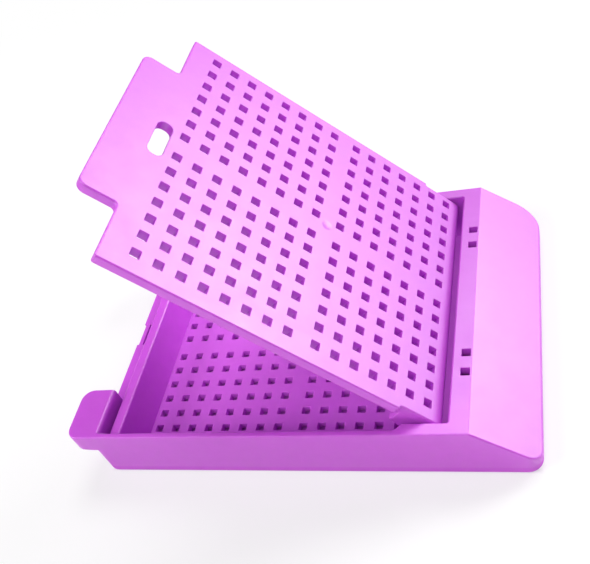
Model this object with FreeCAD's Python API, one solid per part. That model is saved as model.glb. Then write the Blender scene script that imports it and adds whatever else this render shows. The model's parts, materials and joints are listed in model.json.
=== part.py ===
import FreeCAD, Part
import math
import os

# Histology biopsy cassette: a perforated tray with a hinged, perforated lid, two acetal mouldings.
# Frame: origin under the middle of the base, on the plane it rests on.
# +X runs towards the slanted writing face, +Y across the tray, +Z up. Millimetres.
# The lid is drawn shut, then turned about its pins to the angle at which it stands open.

V = FreeCAD.Vector

# Overall
LENGTH = 41.2            # over the ears and the foot of the writing face
WIDTH = 28.5
RIM_Z = 5.7              # top of the side walls, the ears and the hinge land
FLOOR_T = 0.7
LID_OPEN_DEG = 47.6      # angle of the lid above its shut position

# Square perforations, on one grid in the floor and in the lid
PITCH = 1.745
MID_WEB = 0.65           # extra width of the plain web between the two halves of the field
HOLE = 0.8
COLUMNS = 15             # along X
COLUMNS_BEFORE_WEB = 8
ROWS_PER_SIDE = 7        # on each side of the lengthwise web
FIRST_COLUMN_X = -14.56
LID_ROWS_SHIFT = 0.25    # the rows of the lid sit this far to +Y of those in the floor

# Tray walls
SIDE_T_TOP = 0.55
SIDE_T_FOOT = 0.85
HINGE_WALL_T = 1.16      # the side walls are thicker where they carry the hinge sockets
HINGE_WALL_X = 9.7
HINGE_WALL_RAMP = 0.6    # length over which the wall thickens
END_WALL_T = 0.95
END_WALL_INNER_X = -15.8
END_WALL_FOOT_X = -15.25 # the inner face leans outwards as it rises

# Latch end
EAR_LENGTH = 3.35
EAR_WIDTH = 5.45
EAR_BOTTOM_Z = 3.75
EAR_NOSE_R = 0.35        # rounding of the ear where it faces the end wall
LEDGE_END_X = -18.75
LEDGE_TOP_Z = 3.2
LEDGE_T = 0.8
LATCH_SLOT_W = 2.7       # the latch leg drops into this slot in the ledge
LATCH_BAR_T = 0.42       # the bar that closes the slot on the outside
LATCH_BAR_STEP = 0.2     # how far the bar stands back from the ledge
LIP_TOP_Z = 4.35         # catch lip on the outside of the end wall, above the slot
LIP_NOSE_Z = (3.5, 3.75)
LIP_REACH = 0.3

# Writing end
LAND_WALL_X = 13.88
LAND_WALL_T = 0.6
RIDGE_X = 15.49
FACE_T = 0.9
FACE_FOOT_Z = 1.5
FOOT_T = 0.8
LAND_HOLE_X = 14.97
LAND_HOLE_YS = (6.3, 8.25)

# Lid
LID_T = 0.85
LID_SEAT_GAP = 0.05      # between the shut lid and the top of the end wall
LID_HALF_W = 13.2
LID_NECK_HALF_W = 12.9   # between the thicker hinge walls
LID_NECK_X = 8.05
LID_HINGE_X = 12.2
LID_SHOULDER_X = -17.02
TAB_HALF_W = 8.05
TAB_END_X = -20.14
WINDOW_X = (-17.0, -15.5)
WINDOW_HALF_W = 1.9
WINDOW_R = 0.6
GATE_Y = 0.8             # dimple left where the plastic entered the mould
GATE_R = 0.65
GATE_DEPTH = 0.12

# Hinge
PIVOT_X = 11.67
PIVOT_Z = 3.8
PIN_R = 0.5
SOCKET_R = 0.55
PIN_END_Y = 13.75
SOCKET_END_Y = 13.85
BOSS_R = 0.95
CHEEK_T = 0.7
CHEEK_X = 8.5            # the cheeks run from here to the hinge edge
CHEEK_HEEL_Z = 3.5
FLANGE_T = 0.7

# Latch
LEG_T = 0.75
LEG_HALF_W = 1.05
LEG_WINDOW_GAP = 0.25    # between the leg and the finger window
LEG_BOTTOM_Z = 2.3
NIB_H = 0.5
NIB_CLEARANCE = 0.08     # beside the lip; the real nib bites under it and springs past

# Edge roundings
FOOT_PLAN_R = 2.0
EAR_R = 1.2
LEDGE_R = 1.0
BOTTOM_R = 0.4
RIDGE_R = 0.3
RIM_R = 0.15
TAB_R = 0.7
NOTCH_R = 0.35
FUSE = 0.2               # how deep a feature is sunk into the one it grows from

THROUGH = 1.0            # how far a cutting tool runs past the faces it opens


def block(x0, x1, y0, y1, z0, z1):
    return Part.makeBox(x1 - x0, y1 - y0, z1 - z0, V(x0, y0, z0))


def side_prism(points, half_width):
    """Solid with the given X-Z outline, centred on the X-Z plane."""
    ring = [V(x, -half_width, z) for x, z in points]
    face = Part.Face(Part.makePolygon(ring + ring[:1]))
    return face.extrude(V(0, 2 * half_width, 0))


def plan_prism(points, z0, z1):
    """Solid with the given X-Y outline between two heights."""
    ring = [V(x, y, z0) for x, y in points]
    face = Part.Face(Part.makePolygon(ring + ring[:1]))
    return face.extrude(V(0, 0, z1 - z0))


def edges_where(shape, test):
    """Edges whose two ends both pass the test."""
    return [e for e in shape.Edges if len(e.Vertexes) == 2 and all(test(v.Point) for v in e.Vertexes)]


def upright_edges(shape, x, half_width):
    """Vertical edges at one X and at both plus and minus half_width."""
    def on_line(p):
        return abs(p.x - x) < 1e-3 and abs(abs(p.y) - half_width) < 1e-3
    return [e for e in edges_where(shape, on_line) if abs(e.Vertexes[0].Y - e.Vertexes[1].Y) < 1e-3]


def hole_columns():
    return [FIRST_COLUMN_X + PITCH * i + (MID_WEB if i >= COLUMNS_BEFORE_WEB else 0)
            for i in range(COLUMNS)]


def hole_rows():
    first = (PITCH + MID_WEB) / 2
    half = [first + PITCH * i for i in range(ROWS_PER_SIDE)]
    return [-y for y in reversed(half)] + half


def perforation(z0, z1, shift=0):
    """All the square punches of the field, as one tool, with its rows shifted along Y."""
    h = HOLE / 2
    return Part.makeCompound([block(x - h, x + h, y + shift - h, y + shift + h, z0, z1)
                              for x in hole_columns() for y in hole_rows()])


def pivot_rod(radius, y0, y1):
    return Part.makeCylinder(radius, y1 - y0, V(PIVOT_X, y0, PIVOT_Z), V(0, 1, 0))


def base_envelope():
    """Outside of the base with its rounded corners, before anything is hollowed out."""
    half, w = LENGTH / 2, WIDTH / 2
    outside = side_prism([(LEDGE_END_X, 0), (half, 0), (half, FACE_FOOT_Z), (RIDGE_X, RIM_Z),
                          (-half, RIM_Z), (-half, EAR_BOTTOM_Z), (LEDGE_END_X, EAR_BOTTOM_Z)], w)
    for x, radius in ((-half, EAR_R), (LEDGE_END_X, LEDGE_R), (half, FOOT_PLAN_R)):
        outside = outside.makeFillet(radius, upright_edges(outside, x, w))
    ridge = edges_where(outside, lambda p: abs(p.x - RIDGE_X) < 1e-3 and abs(p.z - RIM_Z) < 1e-3)
    outside = outside.makeFillet(RIDGE_R, ridge)
    foot = edges_where(outside, lambda p: abs(p.z) < 1e-3)
    return outside.makeFillet(BOTTOM_R, foot)


def tray_cavity():
    """Inside of the tray: the walls lean outwards slightly, as they must to leave the mould."""
    def ring(x0, x1, half, z):
        pts = [V(x0, -half, z), V(x1, -half, z), V(x1, half, z), V(x0, half, z)]
        return Part.makePolygon(pts + pts[:1])

    w = WIDTH / 2
    rise = (RIM_Z + THROUGH - FLOOR_T) / (RIM_Z - FLOOR_T)
    mouth_half = w - SIDE_T_FOOT + (SIDE_T_FOOT - SIDE_T_TOP) * rise
    mouth_x = END_WALL_FOOT_X + (END_WALL_INNER_X - END_WALL_FOOT_X) * rise
    cavity = Part.makeLoft([ring(END_WALL_FOOT_X, LAND_WALL_X, w - SIDE_T_FOOT, FLOOR_T),
                            ring(mouth_x, LAND_WALL_X, mouth_half, RIM_Z + THROUGH)], True, True)
    for side in (-1, 1):
        outline = [(HINGE_WALL_X, side * w), (HINGE_WALL_X, side * (w - SIDE_T_TOP)),
                   (HINGE_WALL_X + HINGE_WALL_RAMP, side * (w - HINGE_WALL_T)),
                   (LAND_WALL_X, side * (w - HINGE_WALL_T)), (LAND_WALL_X, side * w)]
        cavity = cavity.cut(plan_prism(outline, 0, RIM_Z + 2 * THROUGH))
    return cavity


def latch_end_tools():
    """What is cleared away at the latch end, and the lip that is put back."""
    half, w = LENGTH / 2, WIDTH / 2
    top = RIM_Z + THROUGH
    outer_x = END_WALL_INNER_X - END_WALL_T
    inner_w = w - SIDE_T_TOP
    seat_z = RIM_Z - LID_T - LID_SEAT_GAP
    ear_gap = w - EAR_WIDTH
    ear_x = -half + EAR_LENGTH
    seat = block(outer_x, END_WALL_INNER_X + THROUGH, -inner_w, inner_w, seat_z, top)
    between_ears = block(-half - THROUGH, outer_x, -ear_gap, ear_gap, LEDGE_TOP_Z, top)
    ear_corners = []
    for side in (-1, 1):
        y0, y1 = sorted((side * ear_gap, side * (ear_gap + EAR_R)))
        square = block(-half, -half + EAR_R, y0, y1, LEDGE_TOP_Z, top)
        centre = V(-half + EAR_R, side * (ear_gap + EAR_R), 0)
        ear_corners.append(square.cut(Part.makeCylinder(EAR_R, 2 * RIM_Z, centre)))
    behind_ears = block(ear_x, outer_x, -inner_w, inner_w, LEDGE_TOP_Z, top)
    bar_x = LEDGE_END_X + LATCH_BAR_STEP
    slot = block(bar_x + LATCH_BAR_T, outer_x, -LATCH_SLOT_W / 2, LATCH_SLOT_W / 2, -THROUGH, top)
    step = block(-half - THROUGH, bar_x, -LATCH_SLOT_W / 2, LATCH_SLOT_W / 2, -THROUGH, top)
    pockets = [block(LEDGE_END_X + LEDGE_T, outer_x, y0, y1, -THROUGH, LEDGE_TOP_Z - LEDGE_T)
               for y0, y1 in ((-w + LEDGE_T, -LATCH_SLOT_W / 2 - LEDGE_T),
                              (LATCH_SLOT_W / 2 + LEDGE_T, w - LEDGE_T))]
    nose_x, nose_z = ear_x - EAR_NOSE_R, RIM_Z - EAR_NOSE_R
    nose = block(nose_x, ear_x, -inner_w, inner_w, nose_z, top)
    nose = nose.cut(Part.makeCylinder(EAR_NOSE_R, 2 * w, V(nose_x, -w, nose_z), V(0, 1, 0)))
    lip = side_prism([(outer_x + FUSE, LIP_TOP_Z), (outer_x, LIP_TOP_Z),
                      (outer_x - LIP_REACH, LIP_NOSE_Z[1]), (outer_x - LIP_REACH, LIP_NOSE_Z[0]),
                      (outer_x, LEDGE_TOP_Z), (outer_x + FUSE, LEDGE_TOP_Z)], LATCH_SLOT_W / 2)
    return [seat, between_ears, behind_ears, slot, step, nose] + ear_corners + pockets, lip


def writing_end_tools():
    """The hollow under the writing face, and the four square holes in the land."""
    run, drop = LENGTH / 2 - RIDGE_X, RIM_Z - FACE_FOOT_Z
    slant = math.hypot(run, drop)
    back_x = RIDGE_X - FACE_T * drop / slant
    back_z = RIM_Z - FACE_T * run / slant
    roof_z = RIM_Z - FACE_T
    foot_x = LENGTH / 2 - FOOT_T
    wall_x = LAND_WALL_X + LAND_WALL_T
    hollow = side_prism([(wall_x, -THROUGH), (foot_x, -THROUGH),
                         (foot_x, back_z - (foot_x - back_x) * drop / run),
                         (back_x + (back_z - roof_z) * run / drop, roof_z), (wall_x, roof_z)],
                        WIDTH / 2 - SIDE_T_FOOT)
    h = HOLE / 2
    holes = [block(LAND_HOLE_X - h, LAND_HOLE_X + h, side * y - h, side * y + h, roof_z - THROUGH,
                   RIM_Z + THROUGH) for side in (-1, 1) for y in LAND_HOLE_YS]
    return [hollow] + holes


def make_base():
    cleared, lip = latch_end_tools()
    base = base_envelope().cut(tray_cavity())
    for tool in cleared + writing_end_tools():
        base = base.cut(tool)
    base = base.fuse(lip)
    thick = WIDTH / 2 - HINGE_WALL_T
    base = base.cut(pivot_rod(SOCKET_R, thick - THROUGH, SOCKET_END_Y))
    base = base.cut(pivot_rod(SOCKET_R, -SOCKET_END_Y, -thick + THROUGH))
    base = base.cut(perforation(-THROUGH, FLOOR_T + THROUGH / 2))
    return base.removeSplitter()


def lid_plate():
    """The flat plate in plan: a neck at the hinge, the wide field, two shoulders and the latch tab."""
    half = [(LID_HINGE_X, LID_NECK_HALF_W), (LID_NECK_X, LID_NECK_HALF_W), (LID_NECK_X, LID_HALF_W),
            (LID_SHOULDER_X, LID_HALF_W), (LID_SHOULDER_X, TAB_HALF_W), (TAB_END_X, TAB_HALF_W)]
    outline = half + [(x, -y) for x, y in reversed(half)]
    plate = plan_prism(outline, RIM_Z - LID_T, RIM_Z)
    plate = plate.makeFillet(TAB_R, upright_edges(plate, TAB_END_X, TAB_HALF_W))
    plate = plate.makeFillet(NOTCH_R, upright_edges(plate, LID_SHOULDER_X, TAB_HALF_W)
                             + upright_edges(plate, LID_SHOULDER_X, LID_HALF_W))
    hinge_edge = edges_where(plate, lambda p: abs(p.x - LID_HINGE_X) < 1e-3 and abs(p.z - RIM_Z) < 1e-3)
    plate = plate.makeFillet(LID_T / 2, hinge_edge)
    top_rim = edges_where(plate, lambda p: abs(p.z - RIM_Z) < 1e-3)
    return plate.makeFillet(RIM_R, top_rim)


def lid_window():
    """The finger window: a rounded oblong beside the latch leg."""
    x0, x1 = WINDOW_X
    w = WINDOW_HALF_W
    tool = block(x0, x1, -w, w, RIM_Z - LID_T - THROUGH, RIM_Z + THROUGH)
    return tool.makeFillet(WINDOW_R, upright_edges(tool, x0, w) + upright_edges(tool, x1, w))


def lid_hinge():
    """Flange along the hinge edge, two side cheeks and the pins, all one with the plate."""
    top = RIM_Z - LID_T + FUSE
    bottom = PIVOT_Z - BOSS_R
    inner = LID_NECK_HALF_W - CHEEK_T
    flange = block(LID_HINGE_X - FLANGE_T, LID_HINGE_X, -inner - FUSE, inner + FUSE, bottom, top)
    cheek = side_prism([(CHEEK_X, top), (CHEEK_X, CHEEK_HEEL_Z), (PIVOT_X, bottom),
                        (LID_HINGE_X, bottom), (LID_HINGE_X, top)], LID_NECK_HALF_W)
    cheek = cheek.fuse(pivot_rod(BOSS_R, -LID_NECK_HALF_W, LID_NECK_HALF_W))
    cheeks = cheek.cut(block(-LENGTH, LENGTH, -inner, inner, -THROUGH, RIM_Z + THROUGH))
    pins = [pivot_rod(PIN_R, LID_NECK_HALF_W - FUSE, PIN_END_Y),
            pivot_rod(PIN_R, -PIN_END_Y, -LID_NECK_HALF_W + FUSE)]
    return [flange, cheeks] + pins


def latch_leg():
    """The leg under the tab, with its nib reaching below the lip on the end wall."""
    x1 = WINDOW_X[0] - LEG_WINDOW_GAP
    x0 = x1 - LEG_T
    nib_x = END_WALL_INNER_X - END_WALL_T - LIP_REACH - NIB_CLEARANCE
    top = RIM_Z - LID_T + FUSE
    outline = [(x0, top), (x0, LEG_BOTTOM_Z), (x1, LEG_BOTTOM_Z), (nib_x, LEG_BOTTOM_Z + NIB_H / 2),
               (nib_x, LEG_BOTTOM_Z + NIB_H), (x1, LEG_BOTTOM_Z + NIB_H), (x1, top)]
    return side_prism(outline, LEG_HALF_W)


def make_lid():
    lid = lid_plate().fuse(lid_hinge() + [latch_leg()])
    lid = lid.cut(lid_window())
    lid = lid.cut(perforation(RIM_Z - LID_T, RIM_Z + THROUGH, LID_ROWS_SHIFT))
    column = hole_columns()
    gate_x = (column[COLUMNS_BEFORE_WEB - 1] + column[COLUMNS_BEFORE_WEB]) / 2
    ball_r = (GATE_R ** 2 + GATE_DEPTH ** 2) / (2 * GATE_DEPTH)
    lid = lid.cut(Part.makeSphere(ball_r, V(gate_x, GATE_Y, RIM_Z - GATE_DEPTH + ball_r)))
    lid = lid.removeSplitter()
    lid.rotate(V(PIVOT_X, 0, PIVOT_Z), V(0, 1, 0), LID_OPEN_DEG)
    return lid


os.makedirs("parts", exist_ok=True)
for name, build in (("base", make_base), ("lid", make_lid)):
    shape = build()
    print(name, "solids", len(shape.Solids), "valid", shape.isValid(), "volume", round(shape.Volume, 2))
    shape.exportStep("parts/" + name + ".step")
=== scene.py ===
import json
import math

import bmesh
import bpy
from mathutils import Matrix, Vector


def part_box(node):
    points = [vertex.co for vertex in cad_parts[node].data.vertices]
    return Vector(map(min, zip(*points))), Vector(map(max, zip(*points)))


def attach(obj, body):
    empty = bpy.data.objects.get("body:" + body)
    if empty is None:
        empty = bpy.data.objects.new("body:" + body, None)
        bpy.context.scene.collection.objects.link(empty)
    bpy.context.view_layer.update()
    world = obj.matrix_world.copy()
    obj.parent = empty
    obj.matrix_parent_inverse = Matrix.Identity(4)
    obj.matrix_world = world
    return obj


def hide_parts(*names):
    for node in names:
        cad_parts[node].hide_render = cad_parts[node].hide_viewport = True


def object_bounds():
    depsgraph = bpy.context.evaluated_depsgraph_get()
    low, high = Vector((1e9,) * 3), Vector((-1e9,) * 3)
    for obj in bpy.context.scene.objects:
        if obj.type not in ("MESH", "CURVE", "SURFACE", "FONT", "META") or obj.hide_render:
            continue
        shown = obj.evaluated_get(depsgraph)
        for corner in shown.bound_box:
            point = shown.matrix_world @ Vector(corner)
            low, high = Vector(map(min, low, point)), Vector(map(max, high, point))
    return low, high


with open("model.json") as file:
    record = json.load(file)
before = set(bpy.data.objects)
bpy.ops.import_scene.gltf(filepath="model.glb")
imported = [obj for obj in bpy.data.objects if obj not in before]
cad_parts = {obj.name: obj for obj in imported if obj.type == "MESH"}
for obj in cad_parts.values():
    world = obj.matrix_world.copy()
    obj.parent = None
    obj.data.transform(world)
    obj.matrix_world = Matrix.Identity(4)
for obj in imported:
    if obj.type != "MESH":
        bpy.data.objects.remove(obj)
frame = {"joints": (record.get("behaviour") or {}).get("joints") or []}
cad_low, cad_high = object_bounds()

# ---------------------------------------------------------------------------------------------
# Tray floor: the perforated acetal bottom of the tray, moulded in one with its walls. One steel
# block with 210 square pins forms it, so every hole has rounded corners, a little draft and
# edges that the flow has softened.
# ---------------------------------------------------------------------------------------------
MM = 0.001                       # sizes are in millimetres; finish_mesh brings a piece to metres
PITCH = 1.745
WEB = 0.65                       # the plain cross in the middle is wider than the other bars
COLUMNS, COLUMNS_BEFORE_WEB = 15, 8
ROWS_PER_SIDE = 7
FIRST_COLUMN_X = -14.56
HOLE_MOUTH, HOLE_THROAT = 0.75, 0.69
HOLE_CORNER, HOLE_EDGE = 0.10, 0.05
HOLE_BORDER = 0.62               # from the last holes' middles to where the plain border begins
FLOOR_TOP, FLOOR_BOTTOM = 0.70, 0.01
FLOOR_CORNER = 0.1
FOOT_X, FOOT_HALF_Y = (-15.25, 13.88), 13.4      # where the inner faces of the walls meet the floor
IN_WALL = 0.3                    # how far one part runs into another that it is joined to
HAIR = 0.02                      # the smallest rounding, and the least step between two faces
TINY = 1e-5                      # anything less is rounding error

hole_columns = [FIRST_COLUMN_X + PITCH * i + (WEB if i >= COLUMNS_BEFORE_WEB else 0)
                for i in range(COLUMNS)]
half_rows = [(PITCH + WEB) / 2 + PITCH * i for i in range(ROWS_PER_SIDE)]
hole_rows = [-y for y in reversed(half_rows)] + half_rows


def rounded(corners, insets, steps=5):
    """Counter-clockwise ring through corners (x, y, radius), each side moved in by its inset.

    Every point comes with its own inset, which fades from one side's to the next round a corner.
    """
    ring = []
    for i, (x, y, radius) in enumerate(corners):
        here = Vector((x, y))
        ahead = (Vector(corners[(i + 1) % len(corners)][:2]) - here).normalized()
        behind = (here - Vector(corners[i - 1][:2])).normalized()
        before, after = insets[i - 1], insets[i]
        turn = behind.x * ahead.y - behind.y * ahead.x
        in_before, in_after = Vector((-behind.y, behind.x)), Vector((-ahead.y, ahead.x))
        if abs(turn) < TINY:                             # a point on a straight side
            ring.append((here + in_after * after, after))
            continue
        along = (after - before * in_before.dot(in_after)) / in_after.dot(behind)
        tip = here + in_before * before + behind * along
        if radius == 0:
            ring.append((tip, after))
            continue
        radius = max(HAIR, radius - math.copysign((before + after) / 2, turn))
        angle = math.atan2(turn, behind.dot(ahead))
        start = tip - behind * (radius * math.tan(abs(angle) / 2))
        centre = start + in_before * math.copysign(radius, turn)
        for k in range(steps + 1):
            arm = start - centre
            arm.rotate(Matrix.Rotation(angle * k / steps, 2))
            ring.append((centre + arm, before + (after - before) * k / steps))
    return ring


def rings_down(bm, corners, edge, top, bottom, foot_edge, bends=4, draft=0.0, flared=False,
               steps=5):
    """Rings down a wall with rounded top and bottom edges. A flared one is a hole with draft."""
    rings = []
    way = -1 if flared else 1
    edges = edge if isinstance(edge, list) else [edge] * len(corners)
    radii = [radius for _, radius in rounded(corners, edges, steps)]
    for k in range(bends + 1):
        bend = math.pi / 2 * k / bends
        ring = rounded(corners, [way * radius * (1 - math.sin(bend)) for radius in edges], steps)
        rings.append([bm.verts.new((spot.x, spot.y, top - radius * (1 - math.cos(bend))))
                      for (spot, _), radius in zip(ring, radii)])
    for k in range(bends + 1):
        bend = math.pi / 2 * (1 - k / bends)
        inset = draft + way * foot_edge * (1 - math.sin(bend))
        z = bottom + foot_edge * (1 - math.cos(bend))
        rings.append([bm.verts.new((spot.x, spot.y, z))
                      for spot, _ in rounded(corners, [inset] * len(corners), steps)])
    return rings


def skin_between(bm, rings):
    for upper, lower in zip(rings, rings[1:]):
        for i in range(len(upper)):
            bm.faces.new((upper[i - 1], lower[i - 1], lower[i], upper[i]))


def square_hole(x, y):
    half = HOLE_MOUTH / 2
    return [(x + i * half, y + j * half, HOLE_CORNER)
            for i, j in ((-1, -1), (1, -1), (1, 1), (-1, 1))]


def mirrored(half):
    """The whole outline from its far half, which starts and ends on the middle line."""
    return half + [(x, -y, radius) for x, y, radius in reversed(half[1:-1])]


def hole_wall(bm, corners, top, bottom, bends, draft=0.0):
    rings = rings_down(bm, corners, HOLE_EDGE, top, bottom, HOLE_EDGE, bends, draft, flared=True)
    for ring in rings:
        ring.reverse()
    skin_between(bm, rings)
    return rings


def on_middle_line(ring, way):
    """Where a ring crosses the middle line, at its high-x end (way 1) or its low-x end (way -1)."""
    return min(range(len(ring)), key=lambda n: (abs(ring[n].co.y) > TINY, -way * ring[n].co.x))


def ring_part(ring, start, end):
    return [ring[(start + n) % len(ring)] for n in range((end - start) % len(ring) + 1)]


def flat_side(bm, z, rows, holes, rim, window_ring, underside):
    """One flat side of a plate: a square cell round each hole, then the plain border in halves."""
    xs, ys = ([spots[0] - HOLE_BORDER] + [(a + b) / 2 for a, b in zip(spots, spots[1:])]
              + [spots[-1] + HOLE_BORDER] for spots in (hole_columns, rows))
    grid = [[bm.verts.new((x, y, z)) for y in ys] for x in xs]

    def face(verts):
        bm.faces.new(verts[::-1] if underside else verts)

    for (i, j), ring in holes.items():
        cell = [grid[i][j], grid[i + 1][j], grid[i + 1][j + 1], grid[i][j + 1]]
        per_corner = len(ring) // 4
        mid = per_corner // 2
        for k in range(4):
            arc = ring_part(ring, k * per_corner + mid, (k + 1) * per_corner + mid)
            face([cell[k], cell[(k + 1) % 4]] + arc[::-1])
    middle = len(ys) // 2
    far_cells = grid[-1][middle:] + [line[-1] for line in grid[-2::-1]] + grid[0][-2:middle - 1:-1]
    near_cells = grid[0][middle::-1] + [line[0] for line in grid[1:]] + grid[-1][1:middle + 1]
    west = on_middle_line(rim, -1)
    far_rim, near_rim = ring_part(rim, 0, west), ring_part(rim, west, 0)
    far_window, near_window = [], []
    if window_ring:
        west, east = on_middle_line(window_ring, -1), on_middle_line(window_ring, 1)
        far_window = ring_part(window_ring, east, west)[::-1]
        near_window = ring_part(window_ring, west, east)[::-1]
    face(far_rim + far_window + far_cells[::-1])
    face(near_rim + near_cells[::-1] + near_window)


def perforated_plate(bm, outline, edge, top, bottom, foot_edge, rows, window=None):
    """A closed plate with the square holes. Its outline starts on the middle line, at high x."""
    rim = rings_down(bm, outline, edge, top, bottom, foot_edge)
    skin_between(bm, rim)
    draft = (HOLE_MOUTH - HOLE_THROAT) / 2
    holes = {(i, j): hole_wall(bm, square_hole(x, y), top, bottom, bends=2, draft=draft)
             for i, x in enumerate(hole_columns) for j, y in enumerate(rows)}
    window_wall = hole_wall(bm, window, top, bottom, bends=3) if window else None
    for side, z in ((0, top), (-1, bottom)):
        mouths = {spot: wall[side][::-1] for spot, wall in holes.items()}
        window_ring = window_wall[side][::-1] if window else None
        flat_side(bm, z, rows, mouths, rim[side], window_ring, underside=side == -1)


def as_piece(bm, name):
    mesh = bpy.data.meshes.new(name)
    bmesh.ops.recalc_face_normals(bm, faces=bm.faces)
    bm.to_mesh(mesh)
    bm.free()
    made = bpy.data.objects.new(name, mesh)
    bpy.context.scene.collection.objects.link(made)
    return made


floor_half_y = FOOT_HALF_Y + IN_WALL
floor_west, floor_east = FOOT_X[0] - IN_WALL, FOOT_X[1] + IN_WALL
floor_outline = mirrored([(floor_east, 0, 0), (floor_east, floor_half_y, FLOOR_CORNER),
                          (floor_west, floor_half_y, FLOOR_CORNER), (floor_west, 0, 0)])
bm = bmesh.new()
perforated_plate(bm, floor_outline, HAIR, FLOOR_TOP, FLOOR_BOTTOM, HAIR, hole_rows)
tray = as_piece(bm, "tray_moulding")

# ---------------------------------------------------------------------------------------------
# Tray walls: four thin walls, the land beside the hinge, the slanted face that the case number
# is written on, and at the latch end a low ledge with two ears that the lid's tab drops between.
# It is all one acetal moulding with the floor; every outside edge is broken by a small radius.
# ---------------------------------------------------------------------------------------------
LENGTH, WIDTH, RIM_Z = [(b - a) / MM for a, b in zip(*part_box("base"))]
HALF_X, HALF_Y = LENGTH / 2, WIDTH / 2
RIDGE_X, RIDGE_R = 15.49, 0.3                    # where the land turns down into the writing face
FACE_FOOT_Z, FACE_T = 1.5, 0.9                   # the writing face
FOOT_T, LAND_WALL_T = 0.8, 0.6                   # the walls round the hollow under it
FACE_CORNER_R, LEDGE_CORNER_R, EAR_CORNER_R = (1.2, 2.0), 1.0, 1.2
LEDGE_X, LEDGE_Z, LEDGE_T, POCKET_R = -18.75, 3.2, 0.8, 0.3
SLOT_HALF_Y, BAR_STEP, BAR_T = 1.35, 0.2, 0.42   # the latch slot, and the bar across its outside
LIP_REACH, LIP_HALF_Y = 0.3, 1.3
LIP_FOOT_Z, LIP_NOSE_Z, LIP_TOP_Z = 3.25, (3.5, 3.75), 4.35
END_WALL_X, END_WALL_T = -15.8, 0.95
SEAT_Z = RIM_Z - 0.9                             # the end wall is lower, and the tab lies on it
SIDE_TOP_T, SIDE_FOOT_T = 0.55, 0.85
HINGE_T, HINGE_X, HINGE_RAMP = 1.16, 9.7, 0.6    # the side walls grow thicker beside the hinge
EAR_X, EAR_Y, EAR_Z, EAR_NOSE = -HALF_X + 3.35, HALF_Y - 5.45, 3.75, 0.35
EAR_GAP, NOSE_STEPS = 0.5, 4                     # from the end wall to the ears
LAND_HOLE_X, LAND_HOLE_YS = 14.97, (6.3, 8.25)
PIVOT = Vector(frame["joints"][0]["pos_m"]) / MM
SOCKET_R, SOCKET_END_Y, PIN_SIDES = 0.55, 13.85, 40
BOTTOM_EDGE, BREAK, SNAP_EDGE = 0.4, 0.15, 0.05  # roundings: underneath, outside, lip and nib
OVER = 1.0                                       # how far a cutter runs past what it cuts
TOUCH = 0.01                                     # nearer than this counts as being on a face
SHARP = math.radians(35)                         # edges that turn by more than this are rounded
FLAT_COS = math.cos(math.radians(50))            # faces that turn by less are shaded as one


def solid_between(bm, rings):
    skin_between(bm, rings)
    bm.faces.new(rings[0])
    bm.faces.new(rings[-1])


def prism(outline, low, high, upright=True):
    """Closed prism of an outline: X-Y outline standing up, or X-Z outline lying along Y."""
    bm = bmesh.new()
    solid_between(bm, [[bm.verts.new((p[0], p[1], level) if upright else (p[0], level, p[1]))
                        for p in outline] for level in (low, high)])
    return as_piece(bm, "solid")


def block(x0, x1, y0, y1, z0, z1):
    return prism([(x0, y0), (x1, y0), (x1, y1), (x0, y1)], z0, z1)


def plan(corners):
    return [tuple(point) for point, _ in rounded(corners, [0] * len(corners), 8)]


def both_sides(near):
    return near + [(x, -y) for x, y in reversed(near)]


def round_pin(radius, y0, y1, x, z):
    """Round pin along Y whose far end is a little rounded off."""
    bm = bmesh.new()
    sign = math.copysign(1, y1 - y0)
    levels = [(y0, radius)]
    levels += [(y1 - sign * BREAK * (1 - math.sin(t)), radius - BREAK * (1 - math.cos(t)))
               for t in (0, math.pi / 6, math.pi / 3, math.pi / 2)]
    around = [2 * math.pi * k / PIN_SIDES for k in range(PIN_SIDES)]
    solid_between(bm, [[bm.verts.new((x + r * math.cos(a), y, z + r * math.sin(a))) for a in around]
                       for y, r in levels])
    return as_piece(bm, "solid")


def combine(piece, operation, *others):
    for other in others:
        step = piece.modifiers.new("join", "BOOLEAN")
        step.operation, step.object, step.solver = operation, other, "EXACT"
    evaluated = piece.evaluated_get(bpy.context.evaluated_depsgraph_get())
    settled = bpy.data.meshes.new_from_object(evaluated)
    piece.modifiers.clear()
    piece.data = settled
    for other in others:
        bpy.data.objects.remove(other)


def soften(piece, width, chosen=None, segments=3):
    """Rounds the sharp edges of a piece, or those of them that are chosen."""
    bm = bmesh.new()
    bm.from_mesh(piece.data)
    bmesh.ops.remove_doubles(bm, verts=bm.verts, dist=TOUCH)
    bmesh.ops.dissolve_limit(bm, angle_limit=math.radians(0.5), verts=bm.verts, edges=bm.edges)
    bmesh.ops.dissolve_verts(bm, verts=[v for v in bm.verts if len(v.link_edges) == 2])
    sharp = [e for e in bm.edges if len(e.link_faces) == 2 and e.calc_face_angle(0) > SHARP]
    if chosen:
        sharp = [e for e in sharp if chosen(*(v.co for v in e.verts))]
    bmesh.ops.bevel(bm, geom=sharp, offset=width, offset_type="OFFSET", segments=segments,
                    profile=0.5, affect="EDGES", clamp_overlap=False, miter_outer="ARC")
    bm.to_mesh(piece.data)
    bm.free()
    return piece


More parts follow.
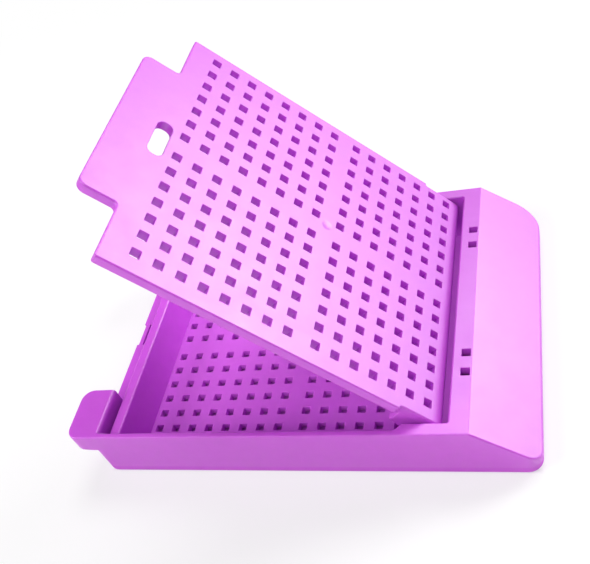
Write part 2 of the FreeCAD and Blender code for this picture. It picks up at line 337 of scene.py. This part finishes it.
# The outside: an upright body, cut to the tray's outline in side view.
body_outline = [(HALF_X, -HALF_Y, FACE_CORNER_R[0]), (HALF_X, HALF_Y, FACE_CORNER_R[1]),
                (LEDGE_X, HALF_Y, LEDGE_CORNER_R), (LEDGE_X, -HALF_Y, LEDGE_CORNER_R)]
bm = bmesh.new()
solid_between(bm, rings_down(bm, body_outline, HAIR, RIM_Z + OVER, 0.0, BOTTOM_EDGE,
                             bends=5, steps=10))
walls = as_piece(bm, "walls")
face_run, face_drop = HALF_X - RIDGE_X, RIM_Z - FACE_FOOT_Z
side_view = plan([(LEDGE_X - OVER, -OVER, 0), (HALF_X + OVER, -OVER, 0),
                  (HALF_X + OVER, FACE_FOOT_Z - OVER * face_drop / face_run, 0),
                  (RIDGE_X, RIM_Z, RIDGE_R), (LEDGE_X - OVER, RIM_Z, 0)])
combine(walls, "INTERSECT", prism(side_view, -HALF_Y - OVER, HALF_Y + OVER, upright=False))

# The inside, the low ledge, and the seat for the tab.
end_wall_out = END_WALL_X - END_WALL_T
side_in, hinge_in = HALF_Y - SIDE_TOP_T, HALF_Y - HINGE_T
above = RIM_Z + OVER
cavity_plan = both_sides([(END_WALL_X, -side_in), (HINGE_X, -side_in),
                          (HINGE_X + HINGE_RAMP, -hinge_in), (FOOT_X[1], -hinge_in)])
cavity = prism(cavity_plan, -OVER, above)
bay_plan = both_sides([(-HALF_X - OVER, -EAR_Y), (EAR_X, -EAR_Y), (EAR_X, -side_in),
                       (end_wall_out, -side_in)])
bay = prism(bay_plan, LEDGE_Z, above)
seat = block(end_wall_out - EAR_GAP, END_WALL_X + OVER, -side_in, side_in, SEAT_Z, above)
combine(walls, "DIFFERENCE", cavity, bay, seat)

# The ears, with a rounded nose towards the end wall.
for side in (-1, 1):
    y0, y1 = sorted((side * EAR_Y, side * HALF_Y))
    root_x, tip_x = EAR_X - IN_WALL, -HALF_X
    ear_plan = plan([(root_x, y0, 0), (root_x, y1, 0),
                     (tip_x, y1, EAR_CORNER_R), (tip_x, y0, EAR_CORNER_R)])
    combine(walls, "UNION", prism(ear_plan, EAR_Z, RIM_Z))
    sweep = [math.pi / 2 * (1 - k / NOSE_STEPS) for k in range(NOSE_STEPS + 1)]
    nose = [(EAR_X - EAR_NOSE, above)]
    nose += [(EAR_X - EAR_NOSE * (1 - math.cos(t)), RIM_Z - EAR_NOSE * (1 - math.sin(t)))
             for t in sweep]
    nose += [(EAR_X + SIDE_TOP_T, RIM_Z - EAR_NOSE), (EAR_X + SIDE_TOP_T, above)]
    y0, y1 = sorted((side * (EAR_Y - OVER), side * side_in))
    combine(walls, "DIFFERENCE", prism(nose, y0, y1, upright=False))

# The walls thicken towards the floor.
for spot in (v.co for v in walls.data.vertices):
    depth = 1 - spot.z / RIM_Z
    if abs(abs(spot.y) - side_in) < TOUCH and EAR_X - TOUCH < spot.x < HINGE_X + TOUCH:
        spot.y -= math.copysign((SIDE_FOOT_T - SIDE_TOP_T) * depth, spot.y)
    if abs(spot.x - END_WALL_X) < TOUCH:
        spot.x += (FOOT_X[0] - END_WALL_X) * depth


def open_edge(a, b):
    """Not the inside corners where an ear grows out of the ledge."""
    level = max(abs(a.z - EAR_Z), abs(b.z - EAR_Z)) < TOUCH
    under_ear = level and max(a.x, b.x) > LEDGE_X - TOUCH
    ear_root = max(abs(p.x - LEDGE_X) + abs(abs(p.y) - EAR_Y) for p in (a, b)) < TOUCH
    return not (under_ear or ear_root)


soften(walls, BREAK, open_edge)

# What is cut after the rounding: the latch slot and the step in front of its bar, the pockets
# under the ledge, the hollow under the writing face, the holes in the land and the hinge sockets.
bar_x = LEDGE_X + BAR_STEP
clearings = [block(x0, x1, -SLOT_HALF_Y, SLOT_HALF_Y, -OVER, LEDGE_Z + OVER)
             for x0, x1 in ((bar_x + BAR_T, end_wall_out - HAIR), (-HALF_X - OVER, bar_x))]
pocket_x = LEDGE_X + LEDGE_T
for side in (-1, 1):
    y0, y1 = sorted((side * (SLOT_HALF_Y + LEDGE_T), side * (HALF_Y - LEDGE_T)))
    pocket = plan([(pocket_x, y0, POCKET_R), (end_wall_out, y0, POCKET_R),
                   (end_wall_out, y1, POCKET_R), (pocket_x, y1, POCKET_R)])
    clearings.append(prism(pocket, -OVER, LEDGE_Z - LEDGE_T))
slant = math.hypot(face_run, face_drop)
back_x, back_z = RIDGE_X - FACE_T * face_drop / slant, RIM_Z - FACE_T * face_run / slant
roof_z, foot_x, land_wall_x = RIM_Z - FACE_T, HALF_X - FOOT_T, FOOT_X[1] + LAND_WALL_T
hollow_side_view = [(land_wall_x, -OVER), (foot_x, -OVER),
                    (foot_x, back_z - (foot_x - back_x) * face_drop / face_run),
                    (back_x + (back_z - roof_z) * face_run / face_drop, roof_z),
                    (land_wall_x, roof_z)]
hollow_half_y = HALF_Y - FOOT_T - BREAK
clearings.append(prism(hollow_side_view, -hollow_half_y, hollow_half_y, upright=False))
for y in [side * y for side in (-1, 1) for y in LAND_HOLE_YS]:
    bm = bmesh.new()
    rings = rings_down(bm, square_hole(LAND_HOLE_X, y), HOLE_EDGE, RIM_Z, roof_z - OVER, HAIR,
                       bends=3, flared=True)
    rings.insert(0, [bm.verts.new((v.co.x, v.co.y, above)) for v in rings[0]])
    solid_between(bm, rings)
    clearings.append(as_piece(bm, "solid"))
for side in (-1, 1):
    y0, y1 = side * (hinge_in - OVER), side * SOCKET_END_Y
    clearings.append(round_pin(SOCKET_R, y0, y1, PIVOT.x, PIVOT.z))
combine(walls, "DIFFERENCE", *clearings)

# The lip that the lid's nib snaps under.
lip_root, lip_tip = end_wall_out + IN_WALL, end_wall_out - LIP_REACH
lip_side_view = [(lip_root, LIP_TOP_Z), (end_wall_out, LIP_TOP_Z), (lip_tip, LIP_NOSE_Z[1]),
                 (lip_tip, LIP_NOSE_Z[0]), (end_wall_out, LIP_FOOT_Z), (lip_root, LIP_FOOT_Z)]
lip = prism(lip_side_view, -LIP_HALF_Y, LIP_HALF_Y, upright=False)
combine(walls, "UNION", soften(lip, SNAP_EDGE, segments=2))
combine(tray, "UNION", walls)


def finish_mesh(piece):
    """Shades flat faces flat, with small roundings running into them, and brings it to metres."""
    mesh = piece.data
    mesh.shade_smooth()
    around = [[] for _ in mesh.vertices]
    for face in mesh.polygons:
        for corner in face.vertices:
            around[corner].append((face.normal.copy(), face.area ** 2))
    shading = []
    for face in mesh.polygons:
        for corner in face.vertices:
            near = [normal * weight for normal, weight in around[corner]
                    if normal.dot(face.normal) > FLAT_COS]
            shading.append(sum(near, Vector()).normalized())
    mesh.normals_split_custom_set(shading)
    mesh.transform(Matrix.Scale(MM, 4))


finish_mesh(tray)

# Lilac acetal: a hard, slightly translucent plastic with a satin skin off the mould, faintly
# mottled where the colour concentrate has not spread evenly, and streaked along the flow.
LILAC_DEEP, LILAC_PALE = (0.585, 0.082, 0.685, 1), (0.655, 0.108, 0.755, 1)
SATIN = 0.36
FLOOR_DULLER, DULL_TO_Z = 0.4, FLOOR_TOP + 0.4   # the tray floor comes off eroded steel
GRAIN_DEPTH, RIPPLE_DEPTH = 0.0025, 0.010        # mm


class Wire:
    """A shader socket that adds and multiplies like a number, or feeds any other node."""

    def __init__(self, tree, socket):
        self.tree, self.socket = tree, socket

    def node(self, kind, settings, inputs, out=0):
        made = self.tree.nodes.new(kind)
        for name, value in settings.items():
            setattr(made, name, value)
        for name, value in inputs.items():
            if isinstance(value, Wire):
                self.tree.links.new(value.socket, made.inputs[name])
            else:
                made.inputs[name].default_value = value
        return Wire(self.tree, made.outputs[out])

    def maths(self, operation, a, b):
        return self.node("ShaderNodeMath", {"operation": operation}, {0: a, 1: b})

    def __add__(self, other):
        return self.maths("ADD", self, other)

    def __radd__(self, other):
        return self.maths("ADD", other, self)

    def __sub__(self, other):
        return self.maths("SUBTRACT", self, other)

    def __rsub__(self, other):
        return self.maths("SUBTRACT", other, self)

    def __mul__(self, other):
        return self.maths("MULTIPLY", self, other)

    def __rmul__(self, other):
        return self.maths("MULTIPLY", other, self)

    def __abs__(self):
        return self.maths("ABSOLUTE", self, 0)


def acetal(name, floor_duller):
    material = bpy.data.materials.new(name)
    material.use_nodes = True
    tree = material.node_tree
    skin = tree.nodes["Principled BSDF"]
    place = Wire(tree, tree.nodes.new("ShaderNodeTexCoord").outputs["Object"])
    place = place.node("ShaderNodeVectorMath", {"operation": "SCALE"}, {0: place, "Scale": 1 / MM})
    grain = place.node("ShaderNodeTexNoise", {},
                       {"Vector": place, "Scale": 9, "Detail": 3, "Roughness": 0.6})
    ripple = place.node("ShaderNodeTexNoise", {}, {"Vector": place, "Scale": 0.5, "Detail": 2})
    mottle = place.node("ShaderNodeTexNoise", {}, {"Vector": place, "Scale": 0.9, "Detail": 4,
                                                   "Roughness": 0.55, "Distortion": 0.6})
    drawn = place.node("ShaderNodeVectorMath", {"operation": "MULTIPLY"},
                       {0: place, 1: (0.25, 2.2, 2.2)})
    flow = drawn.node("ShaderNodeTexNoise", {}, {"Vector": drawn, "Scale": 1, "Detail": 3})
    colour = mottle.node("ShaderNodeMix", {"data_type": "RGBA"},
                         {0: 0.7 * mottle + 0.3 * flow, 6: LILAC_DEEP, 7: LILAC_PALE}, out=2)
    tree.links.new(colour.socket, skin.inputs["Base Color"])
    # Each noise is 0.5 on average, so the three together add the 0.11 that is taken off first.
    dullness = SATIN - 0.11 + 0.10 * ripple + 0.06 * grain + 0.06 * flow
    if floor_duller:
        height = place.node("ShaderNodeSeparateXYZ", {}, {0: place}, out=2)
        dullness = dullness + height.node(
            "ShaderNodeMapRange", {"interpolation_type": "SMOOTHSTEP"},
            {"Value": height, "From Min": DULL_TO_Z, "From Max": FLOOR_TOP,
             "To Min": 0, "To Max": floor_duller})
    tree.links.new(dullness.socket, skin.inputs["Roughness"])
    relief = GRAIN_DEPTH * grain + RIPPLE_DEPTH * ripple
    bumpy = relief.node("ShaderNodeBump", {}, {"Strength": 1, "Distance": MM, "Height": relief})
    tree.links.new(bumpy.socket, skin.inputs["Normal"])
    skin.inputs["Specular IOR Level"].default_value = 0.9
    skin.inputs["Subsurface Weight"].default_value = 0.3
    skin.inputs["Subsurface Radius"].default_value = (1.0, 0.35, 1.2)
    skin.inputs["Subsurface Scale"].default_value = 0.8 * MM
    return material


tray.data.materials.clear()
tray.data.materials.append(acetal("tray_acetal", FLOOR_DULLER))
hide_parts("base")
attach(tray, "base")

# ---------------------------------------------------------------------------------------------
# Lid: a perforated plate with a latch tab and a finger window. Along the hinge edge a flange
# stiffens it and two cheeks carry the pins; a leg under the tab snaps behind the end wall.
# It is the second acetal moulding, drawn shut here and then swung open about its pins.
# ---------------------------------------------------------------------------------------------
LID_T = 0.85
LID_ROWS_SHIFT = 0.25            # the lid's rows of holes stand a little to one side of the floor's
LID_HALF_Y, NECK_HALF_Y, TAB_HALF_Y = 13.2, 12.9, 8.05
NECK_X, LID_HINGE_X, SHOULDER_X, TAB_X = 8.05, 12.2, -17.02, -20.14
HINGE_CORNER_R, LID_CORNER_R, NOTCH_R, TAB_CORNER_R = 0.3, 0.2, 0.35, 0.7
WINDOW_X, WINDOW_HALF_Y, WINDOW_R = (-16.92, -15.6), 1.87, 0.58
RIM_EDGE, HINGE_EDGE, UNDER_EDGE = 0.15, 0.42, 0.1
BOSS_R, PIN_R, PIN_END_Y = 0.95, 0.5, 13.75
CHEEK_T, CHEEK_X, CHEEK_HEEL_Z, CHEEK_STEPS, FLANGE_T = 0.7, 8.5, 3.5, 16, 0.7
LEG_X, LEG_HALF_Y, LEG_BOTTOM_Z, NIB_H, NIB_X = (-18.0, -17.25), 1.05, 2.3, 0.5, -17.13
GATE_Y, GATE_R, GATE_DEPTH = 0.8, 0.5, 0.04      # the dimple where the plastic was shot in
SHY = 0.03                       # how far the parts under the plate stand back from its edge

# The plate.
lid_half = [(LID_HINGE_X, 0, 0), (LID_HINGE_X, NECK_HALF_Y, HINGE_CORNER_R),
            (NECK_X, NECK_HALF_Y, LID_CORNER_R), (NECK_X, LID_HALF_Y, LID_CORNER_R),
            (SHOULDER_X, LID_HALF_Y, LID_CORNER_R), (SHOULDER_X, TAB_HALF_Y, NOTCH_R),
            (TAB_X, TAB_HALF_Y, TAB_CORNER_R), (TAB_X, 0, 0)]
lid_outline = mirrored(lid_half)
lid_edges = [HINGE_EDGE] + [RIM_EDGE] * (len(lid_outline) - 2) + [HINGE_EDGE]
window_west, window_east = WINDOW_X
window = mirrored([(window_east, 0, 0), (window_east, WINDOW_HALF_Y, WINDOW_R),
                   (window_west, WINDOW_HALF_Y, WINDOW_R), (window_west, 0, 0)])
lid_rows = [y + LID_ROWS_SHIFT for y in hole_rows]
under_z = RIM_Z - LID_T
root_z = under_z + IN_WALL
bm = bmesh.new()
perforated_plate(bm, lid_outline, lid_edges, RIM_Z, under_z, UNDER_EDGE, lid_rows, window)
lid = as_piece(bm, "lid_moulding")

# The flange, the cheeks with their pins, and the latch leg.
outer_x, outer_y = LID_HINGE_X - SHY, NECK_HALF_Y - SHY
cheek_in = outer_y - CHEEK_T
flange_half_y = cheek_in + IN_WALL
flange = block(outer_x - FLANGE_T, outer_x - SHY, -flange_half_y, flange_half_y,
               PIVOT.z - BOSS_R + SHY, root_z)
meet = math.acos((outer_x - PIVOT.x) / BOSS_R)
boss = [-math.pi / 2 + (math.pi / 2 + meet) * k / CHEEK_STEPS for k in range(CHEEK_STEPS + 1)]
cheek_side_view = [(CHEEK_X, root_z), (CHEEK_X, CHEEK_HEEL_Z)]
cheek_side_view += [(PIVOT.x + BOSS_R * math.cos(t), PIVOT.z + BOSS_R * math.sin(t)) for t in boss]
cheek_side_view.append((outer_x, root_z))
added = [soften(flange, UNDER_EDGE)]
for side in (-1, 1):
    y0, y1 = sorted((side * cheek_in, side * outer_y))
    added.append(soften(prism(cheek_side_view, y0, y1, upright=False), UNDER_EDGE))
    y0, y1 = side * (NECK_HALF_Y - IN_WALL), side * PIN_END_Y
    added.append(round_pin(PIN_R, y0, y1, PIVOT.x, PIVOT.z))
leg_side_view = [(LEG_X[0], root_z), (LEG_X[0], LEG_BOTTOM_Z), (LEG_X[1], LEG_BOTTOM_Z),
                 (NIB_X, LEG_BOTTOM_Z + NIB_H / 2), (NIB_X, LEG_BOTTOM_Z + NIB_H),
                 (LEG_X[1], LEG_BOTTOM_Z + NIB_H), (LEG_X[1], root_z)]
leg = prism(leg_side_view, -LEG_HALF_Y, LEG_HALF_Y, upright=False)
added.append(soften(leg, SNAP_EDGE, segments=2))
combine(lid, "UNION", *added)

# The gate mark, a shallow round dimple.
gate_x = (hole_columns[COLUMNS_BEFORE_WEB - 1] + hole_columns[COLUMNS_BEFORE_WEB]) / 2
ball_r = (GATE_R ** 2 + GATE_DEPTH ** 2) / (2 * GATE_DEPTH)
ball_at = Matrix.Translation((gate_x, GATE_Y, RIM_Z - GATE_DEPTH + ball_r))
bm = bmesh.new()
bmesh.ops.create_uvsphere(bm, u_segments=64, v_segments=64, radius=ball_r, matrix=ball_at)
combine(lid, "DIFFERENCE", as_piece(bm, "solid"))

finish_mesh(lid)
opened = math.radians(-frame["joints"][0]["range_deg"][0])
pin = PIVOT * MM
swing = Matrix.Translation(pin) @ Matrix.Rotation(opened, 4, "Y") @ Matrix.Translation(-pin)
lid.data.transform(swing)
lid.data.materials.clear()
lid.data.materials.append(acetal("lid_acetal", 0))
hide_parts("lid")
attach(lid, "lid")

# ---------------------------------------------------------------------------------------------
# Bench: a sheet of white paper that burns out to plain white away from the tray, with painted
# lilac shade on it under the tray; a white studio, five soft lamps and the camera. The key lamp
# stands behind on the right, so that the lid and the writing face catch its sheen.
# ---------------------------------------------------------------------------------------------
SHEET_HALF, SHEET_GAP = 0.6, 0.02 * MM           # metres
# the second colour is painted shade, laid on the paper under the tray
WHITE, LILAC_PAINTED_SHADE = (0.93, 0.93, 0.93, 1), (0.42, 0.09, 0.50, 1)
GLARE = 0.6                      # how far the open paper near the tray burns out
ROOM = 0.06                      # the strength of the white studio on the object
LAMP_SIZE, LAMP_DISTANCE = 0.2, 0.4              # metres
CAMERA_AT = (23.32, -46.344, 55.333)
CAMERA_AZIMUTH, CAMERA_TILT, CAMERA_ROLL = 29.364, 43.962, -25.037

bm = bmesh.new()
bmesh.ops.create_grid(bm, x_segments=8, y_segments=8, size=SHEET_HALF)
table = as_piece(bm, "table_top")
table.location.z = cad_low.z - SHEET_GAP
paper = bpy.data.materials.new("white_paper")
paper.use_nodes = True
tree = paper.node_tree
sheet = tree.nodes["Principled BSDF"]
sheet.inputs["Roughness"].default_value = 0.9
place = Wire(tree, tree.nodes.new("ShaderNodeTexCoord").outputs["Object"])
east, north = (place.node("ShaderNodeSeparateXYZ", {}, {0: place}, out=i) for i in (0, 1))
foot_mid, foot_half = (LEDGE_X + HALF_X) / 2 * MM, (HALF_X - LEDGE_X) / 2 * MM
away_x = abs(1 / foot_half * (east - foot_mid))  # 1 is the edge of the tray's footprint
away_y = abs(1 / (HALF_Y * MM) * north)
away = away_x.maths("MAXIMUM", away_x, away_y)
near = away.node("ShaderNodeMapRange", {},
                 {"Value": away, "From Min": 0.92, "From Max": 1.0, "To Min": 0, "To Max": GLARE})
far = away.node("ShaderNodeMapRange", {},
                {"Value": away, "From Min": 2.0, "From Max": 6.0, "To Min": 0, "To Max": 1 - GLARE})
# Under the tray's footprint the paper is painted dark lilac: painted shade, tinted the way light
# bounced off the tray would tint it. It shows through the floor holes.
painted_shade_colour = near.node("ShaderNodeMix", {"data_type": "RGBA"},
                 {0: 1 / GLARE * near, 6: LILAC_PAINTED_SHADE, 7: WHITE}, out=2)
tree.links.new(painted_shade_colour.socket, sheet.inputs["Base Color"])
to_camera = Wire(tree, tree.nodes.new("ShaderNodeLightPath").outputs["Is Camera Ray"])
bare = to_camera.node("ShaderNodeEmission", {}, {"Color": (1, 1, 1, 1), "Strength": 1})
shown = bare.node("ShaderNodeMixShader", {},
                  {0: (near + far) * to_camera, 1: Wire(tree, sheet.outputs["BSDF"]), 2: bare})
tree.links.new(shown.socket, tree.nodes["Material Output"].inputs["Surface"])
table.data.materials.append(paper)

world = bpy.data.worlds.new("studio")
bpy.context.scene.world = world
world.use_nodes = True
tree = world.node_tree
glow = tree.nodes["Background"]
glow.inputs["Color"].default_value = (1, 1, 1, 1)
to_camera = Wire(tree, tree.nodes.new("ShaderNodeLightPath").outputs["Is Camera Ray"])
tree.links.new((ROOM + (1 - ROOM) * to_camera).socket, glow.inputs["Strength"])


def lamp(name, way, watts):
    light = bpy.data.lights.new(name, "AREA")
    light.shape = "DISK"
    light.size = LAMP_SIZE
    light.energy = watts
    made = bpy.data.objects.new(name, light)
    bpy.context.scene.collection.objects.link(made)
    made.location = Vector(way).normalized() * LAMP_DISTANCE
    made.rotation_euler = made.location.to_track_quat("Z", "Y").to_euler()


lamp("key", (0.64, 0.60, 0.47), 0.88)
lamp("side", (0.85, 0.45, 0.30), 0.44)
lamp("top", (0.02, 0.54, 0.85), 0.66)
lamp("front", (0.0, -0.70, 0.70), 0.47)
lamp("left", (-0.70, -0.35, 0.60), 0.85)

lens = bpy.data.cameras.new("camera")
lens.sensor_width = 36
lens.lens = 47.145
lens.shift_y = 0.1075
lens.clip_start = 0.005
camera = bpy.data.objects.new("camera", lens)
bpy.context.scene.collection.objects.link(camera)
aim = (Matrix.Rotation(math.radians(CAMERA_AZIMUTH), 4, "Z")
       @ Matrix.Rotation(math.radians(CAMERA_TILT), 4, "X")
       @ Matrix.Rotation(math.radians(CAMERA_ROLL), 4, "Z"))
camera.matrix_world = Matrix.Translation(Vector(CAMERA_AT) * MM) @ aim
bpy.context.scene.camera = camera
bpy.context.scene.view_settings.view_transform = "Standard"
